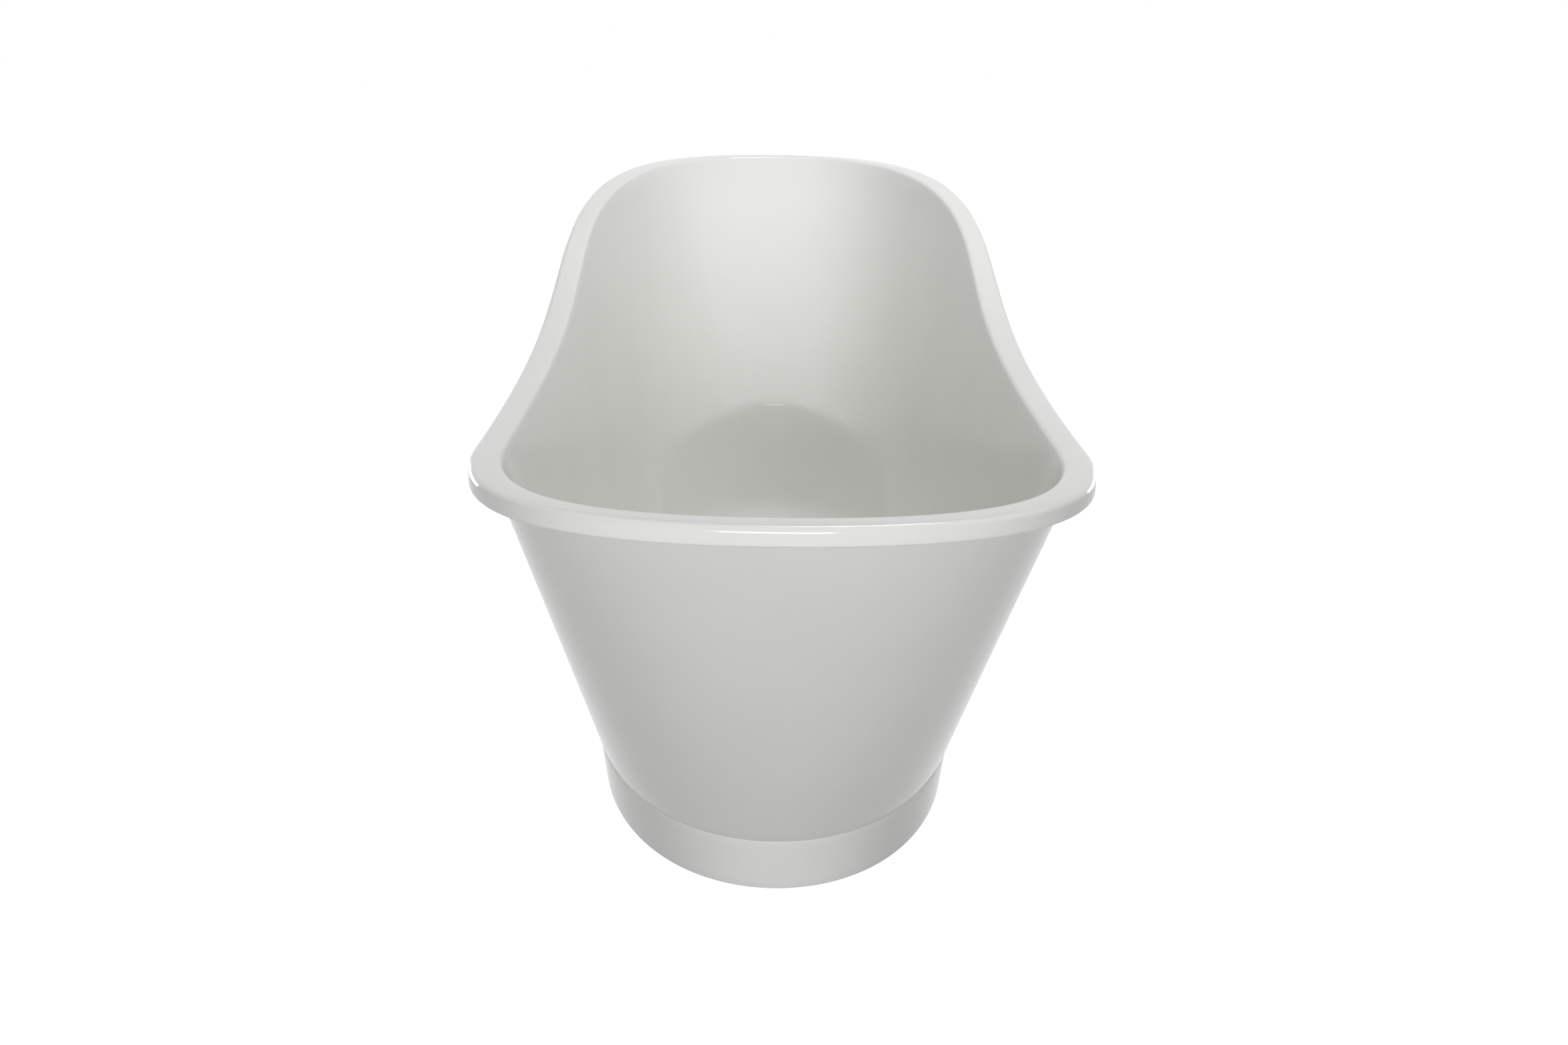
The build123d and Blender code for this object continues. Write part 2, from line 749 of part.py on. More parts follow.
# Trap: a shallow bowl hung from the waste by its inlet nut
save(
    waste_ring(waste_tube_radius, trap_inlet_radius, trap_collar_top, waste_tube_end),
    "trap_inlet_washer",
)
outlet_start = Plane((0, waste_y, trap_outlet_height), x_dir=(1, 0, 0), z_dir=(0, 1, 0))
inlet_bore = trap_inlet_radius - trap_wall
with BuildPart() as trap_bowl:
    add(waste_ring(trap_radius, 0, trap_bottom, trap_top))
    fillet(trap_bowl.edges().sort_by(Axis.Z)[0], trap_round)
    add(ring_on(outlet_start, outlet_radius, 0, trap_radius + outlet_length))
    add(
        waste_ring(trap_radius - trap_wall, 0, trap_bottom + trap_wall, trap_top - trap_wall),
        mode=Mode.SUBTRACT,
    )
    add(
        ring_on(outlet_start, tail_radius + push_gap, 0, trap_radius + 2 * outlet_length),
        mode=Mode.SUBTRACT,
    )
    add(waste_ring(trap_inlet_radius, 0, trap_dip_end, trap_collar_bottom))
    add(waste_ring(waste_tube_radius, 0, trap_collar_bottom, trap_collar_top))
    add(waste_ring(inlet_bore, 0, trap_dip_end, trap_collar_top), mode=Mode.SUBTRACT)
save(trap_bowl.part, "trap_bowl")
trap_nut_foot = trap_collar_bottom - nut_lip
with BuildPart() as trap_inlet_nut:
    with BuildSketch(Plane.XY.offset(trap_nut_foot)):
        with Locations(waste_place):
            RegularPolygon(trap_nut_radius, 12)
            Circle(trap_inlet_radius + push_gap, mode=Mode.SUBTRACT)
    extrude(amount=waste_tube_end + trap_nut_grip - trap_nut_foot)
    add(
        waste_ring(tube_gap_radius, 0, trap_collar_bottom, waste_tube_end + trap_nut_grip),
        mode=Mode.SUBTRACT,
    )
save(trap_inlet_nut.part, "trap_inlet_nut")

# Outlet: washer and nut hold the waste tail, which turns down through the floor
outlet_mouth = Plane((0, outlet_end, trap_outlet_height), x_dir=(1, 0, 0), z_dir=(0, 1, 0))
save(
    ring_on(outlet_mouth, outlet_radius, tail_radius + running_gap, outlet_washer),
    "trap_outlet_washer",
)
with BuildPart() as trap_outlet_nut:
    with BuildSketch(outlet_mouth.offset(-outlet_nut_grip)):
        RegularPolygon(outlet_nut_radius, 12)
        Circle(tail_radius + push_gap, mode=Mode.SUBTRACT)
    extrude(amount=outlet_nut_grip + outlet_washer + nut_lip)
    with BuildSketch(outlet_mouth.offset(-outlet_nut_grip)):
        Circle(outlet_radius + running_gap)
    extrude(amount=outlet_nut_grip + outlet_washer, mode=Mode.SUBTRACT)
save(trap_outlet_nut.part, "trap_outlet_nut")
with BuildPart() as waste_tail:
    with BuildLine():
        tail_line = FilletPolyline(
            (0, outlet_end - outlet_nut_grip, trap_outlet_height),
            (0, tail_y, trap_outlet_height),
            (0, tail_y, tail_end),
            radius=tail_bend,
        )
    with BuildSketch(Plane(tail_line @ 0, z_dir=tail_line % 0)):
        Circle(tail_radius)
        Circle(tail_radius - tail_wall, mode=Mode.SUBTRACT)
    sweep()
save(waste_tail.part, "waste_tail")

# Overflow: chromed face and its screw in the basin, seal and elbow behind the wall
seal_plane = overflow_plane.offset(-shell_wall - overflow_seal_thickness)
save(
    ring_on(seal_plane, overflow_seal_radius, overflow_seal_bore, overflow_seal_thickness - bond_gap),
    "overflow_seal",
)
elbow_plane = seal_plane.offset(-elbow_flange)
back_plane = overflow_plane.offset(elbow_back)
pipe_plane = overflow_plane.offset(-pipe_drop)
down_wall = Plane(pipe_plane.origin, x_dir=(1, 0, 0), z_dir=pipe_plane.y_dir)
with BuildPart() as overflow_elbow:
    add(ring_on(elbow_plane, overflow_seal_radius, 0, elbow_flange))
    add(ring_on(back_plane, elbow_radius, 0, elbow_depth))
    add(ring_on(down_wall, port_radius, 0, elbow_reach))
    add(
        ring_on(
            back_plane.offset(elbow_wall), elbow_radius - elbow_wall, 0, elbow_depth + elbow_flange
        ),
        mode=Mode.SUBTRACT,
    )
    add(ring_on(down_wall, pipe_radius + push_gap, 0, 2 * elbow_reach), mode=Mode.SUBTRACT)
    add(ring_on(back_plane, elbow_boss_radius, 0, elbow_boss_rise))
    add(
        ring_on(
            back_plane.offset(elbow_wall), overflow_screw_radius + running_gap, 0, elbow_boss_rise
        ),
        mode=Mode.SUBTRACT,
    )
save(overflow_elbow.part, "overflow_elbow")
with BuildPart() as overflow_face:
    add(ring_on(overflow_plane.offset(overflow_face_gap), overflow_face_radius, 0, overflow_face_height))
    outer_face = overflow_face.faces().sort_by(Axis(overflow_plane.origin, overflow_plane.z_dir))[-1]
    fillet(outer_face.edges(), overflow_face_round)
    add(
        ring_on(
            overflow_plane.offset(overflow_face_gap),
            overflow_face_radius - overflow_face_wall,
            0,
            overflow_face_height - overflow_face_wall,
        ),
        mode=Mode.SUBTRACT,
    )
    with BuildSketch(overflow_plane.offset(overflow_face_gap)):
        with Locations((0, overflow_face_radius)):
            Rectangle(overflow_slot_width, overflow_face_radius)
    extrude(amount=overflow_slot_height, mode=Mode.SUBTRACT)
    add(
        ring_on(overflow_plane, overflow_screw_radius + push_gap, 0, 2 * overflow_face_height),
        mode=Mode.SUBTRACT,
    )
save(overflow_face.part, "overflow_face")
with BuildPart() as overflow_screw:
    head_plane = overflow_plane.offset(overflow_face_gap + overflow_face_height)
    add(ring_on(head_plane, overflow_screw_head, 0, overflow_screw_head_height))
    shank_plane = back_plane.offset(elbow_wall + nut_lip)
    shank_length = overflow_face_height + overflow_face_gap - elbow_back - elbow_wall - nut_lip
    add(ring_on(shank_plane, overflow_screw_radius, 0, shank_length))
save(overflow_screw.part, "overflow_screw")

# Overflow pipe: down between the two skins, then level to the waste body's port
wall_down = pipe_plane.y_dir
pipe_start = pipe_plane.origin + wall_down * (elbow_reach - pipe_seat)
pipe_fall = (pipe_plane.origin.Z - port_height) / -wall_down.Z
pipe_corner = pipe_plane.origin + wall_down * pipe_fall
pipe_end = (0, waste_y - port_reach + pipe_seat, port_height)
with BuildPart() as overflow_pipe:
    with BuildLine():
        pipe_line = FilletPolyline(pipe_start, pipe_corner, pipe_end, radius=pipe_bend)
    with BuildSketch(Plane(pipe_line @ 0, z_dir=pipe_line % 0)):
        Circle(pipe_radius)
        Circle(pipe_radius - pipe_wall, mode=Mode.SUBTRACT)
    sweep()
save(overflow_pipe.part, "overflow_pipe")
port_mouth = Plane((0, waste_y - port_reach, port_height), x_dir=(1, 0, 0), z_dir=(0, -1, 0))
nut_hole = pipe_radius + running_gap
with BuildPart() as overflow_pipe_nuts:
    add(ring_on(port_mouth, pipe_nut_radius, nut_hole, pipe_nut_length))
    add(ring_on(down_wall.offset(elbow_reach), pipe_nut_radius, nut_hole, pipe_nut_length))
save(overflow_pipe_nuts.part, "overflow_pipe_nuts")
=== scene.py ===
import json
from math import acos, asin, atan2, cos, hypot, pi, radians, sin, sqrt, tan

import bpy
from mathutils import Matrix, Vector


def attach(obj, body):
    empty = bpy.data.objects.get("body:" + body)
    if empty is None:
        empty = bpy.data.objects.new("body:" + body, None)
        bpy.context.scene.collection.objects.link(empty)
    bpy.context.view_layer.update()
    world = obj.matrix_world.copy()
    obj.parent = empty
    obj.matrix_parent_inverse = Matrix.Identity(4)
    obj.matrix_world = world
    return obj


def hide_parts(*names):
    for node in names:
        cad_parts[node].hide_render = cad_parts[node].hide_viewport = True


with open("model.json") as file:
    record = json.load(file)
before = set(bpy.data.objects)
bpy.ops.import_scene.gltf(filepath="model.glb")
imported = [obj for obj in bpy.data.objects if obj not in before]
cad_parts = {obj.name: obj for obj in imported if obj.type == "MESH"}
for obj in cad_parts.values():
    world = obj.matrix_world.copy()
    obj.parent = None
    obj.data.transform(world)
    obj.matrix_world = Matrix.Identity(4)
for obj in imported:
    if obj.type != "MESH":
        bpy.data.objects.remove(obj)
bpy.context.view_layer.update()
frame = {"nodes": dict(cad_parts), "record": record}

mm = 0.001
print("frame loaded")

# Shape of the bath in millimetres, foot end at -Y, backrest at +Y
bath = {
    "length": 1700.0,
    "width": 716.0,
    "footRim": 605.0,
    "headRim": 842.0,
    "rimWidth": 35.0,
    "headRimWidth": 32.0,
    "lipDepth": 22.0,
    "rimRound": 7.0,
    "lipRound": 3.0,
    "overhang": 28.0,
    "footDip": 55.0,
    "headFall": 40.0,
    "footPull": 0.833,
    "headPull": 0.562,
    "cutTop": 900.0,
}
footY = -bath["length"] / 2
headY = bath["length"] / 2


def along(points, share):
    # a place on a curve with four control points
    a, b, c, d = points
    r = 1 - share
    p, q, s, t = r * r * r, 3 * r * r * share, 3 * r * share * share, share * share * share
    return (p * a[0] + q * b[0] + s * c[0] + t * d[0], p * a[1] + q * b[1] + s * c[1] + t * d[1])


rimLine = [
    (footY, bath["footRim"]),
    (footY + bath["footPull"] * bath["length"], bath["footRim"] - bath["footDip"]),
    (headY - bath["headPull"] * bath["length"], bath["headRim"] - bath["headFall"]),
    (headY, bath["headRim"]),
]


def rimHeight(y):
    low, high = -0.03, 1.03
    for _ in range(34):
        middle = (low + high) / 2
        if along(rimLine, middle)[0] < y:
            low = middle
        else:
            high = middle
    return along(rimLine, low)[1]


def eggHalf(halfWidth, widestY, foot, head, pulls):
    # the two curves of an outline's right half, foot end to head end
    footAcross, footAlong, headAcross, headAlong = pulls
    footSide = widestY - footAlong * (widestY - foot)
    headSide = widestY + headAlong * (head - widestY)
    return [
        [(0, foot), (footAcross * halfWidth, foot), (halfWidth, footSide), (halfWidth, widestY)],
        [(halfWidth, widestY), (halfWidth, headSide), (headAcross * halfWidth, head), (0, head)],
    ]


def onHalf(curves, share):
    # share runs 0 to 2 along both curves
    return along(curves[0], share) if share < 1 else along(curves[1], share - 1)


def halfwayCurves(low, high, share):
    return [
        [(a[0] + (b[0] - a[0]) * share, a[1] + (b[1] - a[1]) * share) for a, b in zip(p, q)]
        for p, q in zip(low, high)
    ]


# Basin: leaning walls and the deep oval well at the foot of the backrest
basin = {
    "footLean": 43.4,
    "sideLean": 10.2,
    "headLean": 26.0,
    "topWidest": -0.461,
    "topPulls": (0.825, 0.67, 0.545, 0.885),
    "floorWidest": -0.007,
    "floorPulls": (0.605, 0.605, 0.71, 0.705),
    "floor": 150.0,
    "floorRadius": 80.0,
    "wall": 5.0,
    "floorThickness": 8.0,
    "wellLean": 8.0,
    "wellHeight": 400.0,
    "wellHalfWidth": 222.0,
    "wellHead": 607.0,
    "wellMiddle": 330.0,
    "wellFoot": -60.0,
    "wellCut": 470.0,
    "wellRadius": 105.0,
    "wellPull": 0.5523,
    "creaseSoftness": 2.6,  # how far the crease between wall and well is eased
    "centreY": 200.0,
    "creaseFrom": 252.0,  # heights between which the rows are close, for the crease
    "creaseTo": 474.0,
    "columns": 180,
}
rimWidest = -0.293 * bath["length"]
rimPulls = (0.665, 0.658, 0.95, 0.62)
sideHeight = rimHeight(rimWidest)


def basinCurves(height, grow, widest, pulls):
    side = bath["width"] / 2 - bath["rimWidth"] + (height - sideHeight) * tan(radians(basin["sideLean"]))
    lean = radians(basin["footLean"])
    foot = footY + bath["rimWidth"] - (height - bath["footRim"]) * tan(lean) - grow / cos(lean)
    head = headY - bath["headRimWidth"] + (height - bath["headRim"]) * tan(radians(basin["headLean"]))
    return eggHalf(side + grow, widest * bath["length"], foot, head + grow, pulls)


def wellCurves(height, grow):
    out = grow + (height - basin["wellHeight"]) * tan(radians(basin["wellLean"]))
    return eggHalf(
        basin["wellHalfWidth"] + out,
        basin["wellMiddle"],
        basin["wellFoot"] - out,
        basin["wellHead"] + out,
        (basin["wellPull"],) * 4,
    )


def spaceWalls(grow, floor):
    # for each space: its curves at two heights, and the radius that rounds its floor
    return [
        (
            basinCurves(floor, grow, basin["floorWidest"], basin["floorPulls"]),
            floor,
            basinCurves(bath["cutTop"], grow, basin["topWidest"], basin["topPulls"]),
            bath["cutTop"],
            basin["floorRadius"] + grow,
        ),
        (
            wellCurves(floor, grow),
            floor,
            wellCurves(basin["wellCut"], grow),
            basin["wellCut"],
            basin["wellRadius"] + grow,
        ),
    ]


def reach(space, angle, height):
    # distance from the centre line to one space's wall, with its rounded floor
    low, lowZ, high, highZ, radius = space
    share = (height - lowZ) / (highZ - lowZ)
    curves = halfwayCurves(low, high, share)
    centre = basin["centreY"]
    start, end = 0.0, 2.0
    for _ in range(30):
        middle = (start + end) / 2
        x, y = onHalf(curves, middle)
        if atan2(x, centre - y) < angle:
            start = middle
        else:
            end = middle
    x, y = onHalf(curves, start)
    distance = hypot(x, y - centre)
    rise = height - lowZ
    if rise < radius:
        step = 0.001 if start < 1.999 else -0.001
        nx, ny = onHalf(curves, start + step)
        tangent = Vector(((nx - x) / step, (ny - y) / step, 0))
        a, b = onHalf(low, start), onHalf(high, start)
        ruling = Vector((b[0] - a[0], b[1] - a[1], highZ - lowZ))
        normal = tangent.cross(ruling).normalized()
        lean = asin(min(0.99, abs(normal.z)))
        flat = Vector((normal.x, normal.y)).normalized()
        ray = Vector((sin(angle), -cos(angle)))
        if rise < radius * (1 - sin(lean)):
            bow = radius * tan(lean) - radius / cos(lean)
            bow += sqrt(max(0.0, radius * radius - (radius - rise) ** 2))
            distance -= (rise * tan(lean) - bow) / max(0.5, abs(flat.dot(ray)))
    return distance


def wallReach(spaces, angle, height):
    # the farther of the two walls, eased where they cross
    first = reach(spaces[0], angle, height)
    if height >= basin["wellCut"]:
        return first
    second = reach(spaces[1], angle, height)
    soft = basin["creaseSoftness"]
    blend = max(0.0, soft - abs(first - second)) / soft
    return max(first, second) + blend * blend * soft / 4


def onRay(angle, distance, height):
    return Vector((distance * sin(angle), basin["centreY"] - distance * cos(angle), height))


def roundCorner(corner, first, second, radius, steps):
    # arc from the side of first to the side of second
    a = (first - corner).normalized()
    b = (second - corner).normalized()
    half = acos(max(-1.0, min(1.0, a.dot(b)))) / 2
    middle = corner + (a + b).normalized() * (radius / sin(half))
    start = corner + a * (radius / tan(half)) - middle
    end = corner + b * (radius / tan(half)) - middle
    turn = pi - 2 * half
    return [
        middle + (start * sin(turn * (1 - k / steps)) + end * sin(turn * k / steps)) / sin(turn)
        for k in range(steps + 1)
    ]


def evenShares(curves, count):
    # shares that divide an outline's half into equal lengths
    fine = [onHalf(curves, 2 * k / 2000) for k in range(2001)]
    lengths = [0.0]
    for a, b in zip(fine, fine[1:]):
        lengths.append(lengths[-1] + hypot(b[0] - a[0], b[1] - a[1]))
    shares, place = [0.0], 0
    for k in range(1, count):
        target = lengths[-1] * k / count
        while lengths[place + 1] < target:
            place += 1
        part = (target - lengths[place]) / (lengths[place + 1] - lengths[place])
        shares.append(2 * (place + part) / 2000)
    return shares + [2.0]


def deselectAll():
    if bpy.context.object and bpy.context.object.mode != "OBJECT":
        bpy.ops.object.mode_set(mode="OBJECT")
    bpy.ops.object.select_all(action="DESELECT")


def wrapGrid(name, rings):
    # a grid laid round the piece, one row for each ring, then closed along its seam and poles
    deselectAll()
    columns, rows = len(rings[0]), len(rings)
    bpy.ops.mesh.primitive_grid_add(x_subdivisions=columns, y_subdivisions=rows - 1, size=1)
    piece = bpy.context.object
    piece.name = name
    piece.data.name = name
    for row, ring in enumerate(rings):
        for column in range(columns + 1):
            place = ring[column % columns]
            piece.data.vertices[row * (columns + 1) + column].co = Vector(place) * mm
    bpy.ops.object.mode_set(mode="EDIT")
    bpy.ops.mesh.select_all(action="SELECT")
    bpy.ops.mesh.remove_doubles(threshold=0.00001)
    bpy.ops.mesh.normals_make_consistent(inside=False)
    bpy.ops.object.mode_set(mode="OBJECT")
    piece.location = (0, 0, 0)
    bpy.ops.object.transform_apply(location=True, rotation=True, scale=True)
    return piece


def smooth(piece, angle):
    deselectAll()
    piece.select_set(True)
    bpy.context.view_layer.objects.active = piece
    bpy.ops.object.shade_smooth_by_angle(angle=radians(angle))


def cutWith(piece, tool):
    deselectAll()
    piece.select_set(True)
    bpy.context.view_layer.objects.active = piece
    cut = piece.modifiers.new("cut", "BOOLEAN")
    cut.operation = "DIFFERENCE"
    cut.solver = "EXACT"
    cut.object = tool
    bpy.ops.object.modifier_apply(modifier="cut")
    bpy.data.objects.remove(tool)


def mirrored(halfRing):
    # the left half of a ring follows the right half back to the foot
    return halfRing + [Vector((-p.x, p.y, p.z)) for p in reversed(halfRing[1:-1])]


# One column of the basin moulding, from the middle of the floor, up and over the rim,
# and down the hidden back of the wall
inside = spaceWalls(0, basin["floor"])
outside = spaceWalls(basin["wall"], basin["floor"] - basin["floorThickness"])
rimCurves = eggHalf(bath["width"] / 2, rimWidest, footY, headY, rimPulls)
floorSteps = [1 - cos(radians(4.0 * k)) for k in range(23)]


def moulding(share):
    step = 0.001 if share < 1.999 else -0.001
    x, y = onHalf(rimCurves, share)
    nx, ny = onHalf(rimCurves, share + step)
    outward = Vector(((ny - y) / step, -(nx - x) / step, 0)).normalized()
    if outward.dot(Vector((x, y - rimWidest, 0))) < 0:
        outward = -outward
    outer = Vector((x, y, 0))

    near, far = 15.0, 60.0  # where the rim's top meets the inner wall
    for _ in range(24):
        middle = (near + far) / 2
        p = outer - outward * middle
        angle = atan2(max(0.0, p.x), basin["centreY"] - p.y)
        if hypot(p.x, p.y - basin["centreY"]) > wallReach(inside, angle, rimHeight(p.y)):
            near = middle
        else:
            far = middle
    inner = outer - outward * near
    inner.z = rimHeight(inner.y)
    angle = atan2(max(0.0, inner.x), basin["centreY"] - inner.y)
    outerTop = Vector((outer.x, outer.y, rimHeight(outer.y)))
    below = onRay(angle, wallReach(inside, angle, inner.z - 12), inner.z - 12)
    innerRound = roundCorner(inner, below, outerTop, bath["rimRound"], 6)
    outerLow = outerTop - Vector((0, 0, bath["lipDepth"]))
    outerRound = roundCorner(outerTop, inner, outerLow, bath["rimRound"], 6)

    height = outerLow.z
    for _ in range(12):
        root = onRay(angle, wallReach(outside, angle, height), height)
        height = rimHeight(root.y) - bath["lipDepth"]
    root.z = height
    lipRound = roundCorner(outerLow, outerTop, root, bath["lipRound"], 3)

    # inside: floor, rounded foot of the wall, crease, wall
    points = []
    creaseFrom, creaseTo = basin["creaseFrom"], basin["creaseTo"]
    floorEdge = wallReach(inside, angle, basin["floor"])
    for part in (0, 0.2, 0.4, 0.6, 0.8, 0.93):
        points.append(onRay(angle, floorEdge * part, basin["floor"]))
    for rise in floorSteps:
        level = basin["floor"] + rise * basin["wellRadius"]
        points.append(onRay(angle, wallReach(inside, angle, level), level))
    for k in range(1, 49):
        level = creaseFrom + (creaseTo - creaseFrom) * k / 48
        points.append(onRay(angle, wallReach(inside, angle, level), level))
    top = innerRound[0].z
    for k in range(1, 15):
        level = creaseTo + (top - creaseTo) * k / 15
        points.append(onRay(angle, wallReach(inside, angle, level), level))
    points += innerRound
    for k in (0.33, 0.67):
        middle = innerRound[-1].lerp(outerRound[0], k)
        middle.z = rimHeight(middle.y)
        points.append(middle)
    points += outerRound
    points += lipRound
    middle = lipRound[-1].lerp(root, 0.5)
    middle.z = rimHeight(middle.y) - bath["lipDepth"]
    points += [middle, root]
    base = basin["floor"] - basin["floorThickness"]
    backRadius = basin["wellRadius"] + basin["wall"]
    for k in range(1, 9):
        level = root.z + (creaseTo - root.z) * k / 9
        points.append(onRay(angle, wallReach(outside, angle, level), level))
    for k in range(25):
        level = creaseTo + (base + backRadius * 0.97 - creaseTo) * k / 25
        points.append(onRay(angle, wallReach(outside, angle, level), level))
    for k in range(11, -1, -1):
        level = base + backRadius * (1 - cos(radians(8.0 * k)))
        points.append(onRay(angle, wallReach(outside, angle, level), level))
    floorEdge = wallReach(outside, angle, base)
    for part in (0.9, 0.6, 0.3, 0):
        points.append(onRay(angle, floorEdge * part, base))
    return points


halfColumns = [moulding(share) for share in evenShares(rimCurves, basin["columns"])]
for points in (halfColumns[0], halfColumns[-1]):
    for p in points:
        p.x = 0.0
bathShell = wrapGrid("bathShell", [mirrored(list(ring)) for ring in zip(*halfColumns)])
print("basin moulding", len(bathShell.data.vertices))

# Recess and hole for the waste, hole for the overflow
drain = {
    "y": -289.73,
    "recessRadius": 37.0,
    "recessDepth": 3.0,
    "holeRadius": 25.0,
    "overflowHole": 24.0,
    "overflowHeight": 455.0,
}
lean = radians(basin["footLean"])
overflowY = footY + bath["rimWidth"] - (drain["overflowHeight"] - bath["footRim"]) * tan(lean)
overflowAt = Vector((0, overflowY, drain["overflowHeight"])) * mm
overflowOut = Vector((0, cos(lean), sin(lean)))
overflowTurn = Vector((0, 0, 1)).rotation_difference(overflowOut)


def drainTool(radius, low, high):
    deselectAll()
    bpy.ops.mesh.primitive_cylinder_add(
        vertices=96, radius=radius * mm, depth=(high - low) * mm,
        location=(0, drain["y"] * mm, (low + high) / 2 * mm),
    )
    return bpy.context.object


recessBottom = basin["floor"] - drain["recessDepth"]
cutWith(bathShell, drainTool(drain["recessRadius"], recessBottom, basin["floor"] + 4))
cutWith(bathShell, drainTool(drain["holeRadius"], 120, 170))
deselectAll()
bpy.ops.mesh.primitive_cylinder_add(vertices=96, radius=drain["overflowHole"] * mm, depth=0.03)
tool = bpy.context.object
tool.matrix_world = Matrix.Translation(overflowAt) @ overflowTurn.to_matrix().to_4x4()
cutWith(bathShell, tool)
smooth(bathShell, 35)
print("basin cut")

# Outer skin: straight leaning sides from the plinth up to the underside of the lip
skirt = {
    "footLean": 34.7,
    "sideLean": 7.1,
    "headLean": 18.7,
    "topWidest": -0.48,
    "topPulls": (0.79, 0.69, 0.71, 0.81),
    "footWidest": 0.011,
    "footPulls": (0.55, 0.6, 0.71, 0.68),
    "wall": 3.5,
    "bondGap": 0.3,
    "foot": 72.0,
    "edgeRound": 1.2,
    "columns": 180,
    "rows": 16,
}


def skirtCurves(height, inset):
    atTop = height > skirt["foot"]
    side = bath["width"] / 2 - bath["overhang"]
    side += (height - sideHeight + bath["lipDepth"]) * tan(radians(skirt["sideLean"]))
    foot = footY + bath["overhang"]
    foot -= (height - bath["footRim"] + bath["lipDepth"]) * tan(radians(skirt["footLean"]))
    head = headY - bath["overhang"]
    head += (height - bath["headRim"] + bath["lipDepth"]) * tan(radians(skirt["headLean"]))
    widest = skirt["topWidest"] if atTop else skirt["footWidest"]
    pulls = skirt["topPulls"] if atTop else skirt["footPulls"]
    return eggHalf(side - inset, widest * bath["length"], foot + inset, head - inset, pulls)


def skinPoint(low, high, share, height):
    part = (height - skirt["foot"]) / (bath["cutTop"] - skirt["foot"])
    a, b = onHalf(low, share), onHalf(high, share)
    return Vector((a[0] + (b[0] - a[0]) * part, a[1] + (b[1] - a[1]) * part, height))


def skinTop(low, high, share):
    # climbs the straight side until it meets the underside of the lip
    height = 560.0
    for _ in range(30):
        height = rimHeight(skinPoint(low, high, share, height).y) - bath["lipDepth"] - skirt["bondGap"]
    return height


def skinColumn(share, outer, inner):
    top = skinTop(outer[0], outer[1], share)
    innerTop = skinTop(inner[0], inner[1], share)
    corner = skinPoint(*outer, share, skirt["foot"])
    above = skinPoint(*outer, share, skirt["foot"] + 30)
    under = skinPoint(*inner, share, skirt["foot"])
    points = roundCorner(corner, under, above, skirt["edgeRound"], 4)
    rows = skirt["rows"]
    start = points[-1].z
    for k in range(1, rows + 1):
        points.append(skinPoint(*outer, share, start + (top - start) * k / rows))
    for k in range(rows, -1, -1):
        height = skirt["foot"] + (innerTop - skirt["foot"]) * k / rows
        points.append(skinPoint(*inner, share, height))
    points.append(points[0].copy())
    return points


outerSkin = (skirtCurves(skirt["foot"], 0), skirtCurves(bath["cutTop"], 0))
innerSkin = (
    skirtCurves(skirt["foot"], skirt["wall"]),
    skirtCurves(bath["cutTop"], skirt["wall"]),
)
shares = evenShares(halfwayCurves(*outerSkin, 0.6), skirt["columns"])
halfColumns = [skinColumn(share, outerSkin, innerSkin) for share in shares]
outerSkirt = wrapGrid("outerSkirt", [mirrored(list(ring)) for ring in zip(*halfColumns)])
smooth(outerSkirt, 35)
print("outer skin")

# Plinth ring with an inward flange on top
plinthShape = {
    "height": 72.0,
    "taper": 10.0,
    "wall": 6.0,
    "flange": 34.0,
    "flangeThickness": 5.0,
    "edgeRound": 1.2,
    "footRound": 1.0,
}


def plinthColumn(share):
    height = plinthShape["height"]
    taper = plinthShape["taper"]

    def place(inset, z):
        return Vector((*onHalf(skirtCurves(skirt["foot"], inset), share), z))

    foot, top = place(taper, 0), place(0, height)
    innerFoot = place(taper + plinthShape["wall"], 0)
    lip = place(plinthShape["flange"], height)
    lipLow = place(plinthShape["flange"], height - plinthShape["flangeThickness"])
    inset = taper * plinthShape["flangeThickness"] / height + plinthShape["wall"]
    innerTop = place(inset, height - plinthShape["flangeThickness"])
    points = roundCorner(foot, innerFoot, top, plinthShape["footRound"], 3)
    points += [foot.lerp(top, k / 6) for k in range(1, 6)]
    points += roundCorner(top, foot, lip, plinthShape["edgeRound"], 4)
    points += [lip, lipLow, innerTop, innerTop.lerp(innerFoot, 0.5), innerFoot, points[0].copy()]
    return points


plinth = wrapGrid(
    "plinthRing", [mirrored(list(ring)) for ring in zip(*[plinthColumn(s) for s in shares])]
)
smooth(plinth, 35)
print("plinth")


def turned(name, profile, count=96):
    # a turned piece from (radius, height) pairs about the upright axis
    rings = []
    for radius, height in profile:
        rings.append(
            [
                (radius * cos(2 * pi * k / count), radius * sin(2 * pi * k / count), height)
                for k in range(count)
            ]
        )
    return wrapGrid(name, rings)


def easedProfile(corners, radii):
    # rounds each inner corner of a profile by its own radius
    points = [corners[0]]
    for k in range(1, len(corners) - 1):
        corner = Vector((*corners[k], 0))
        if radii[k] <= 0:
            points.append(corners[k])
            continue
        before, after = Vector((*corners[k - 1], 0)), Vector((*corners[k + 1], 0))
        points += [(p.x, p.y) for p in roundCorner(corner, before, after, radii[k], 4)]
    return points + [corners[-1]]


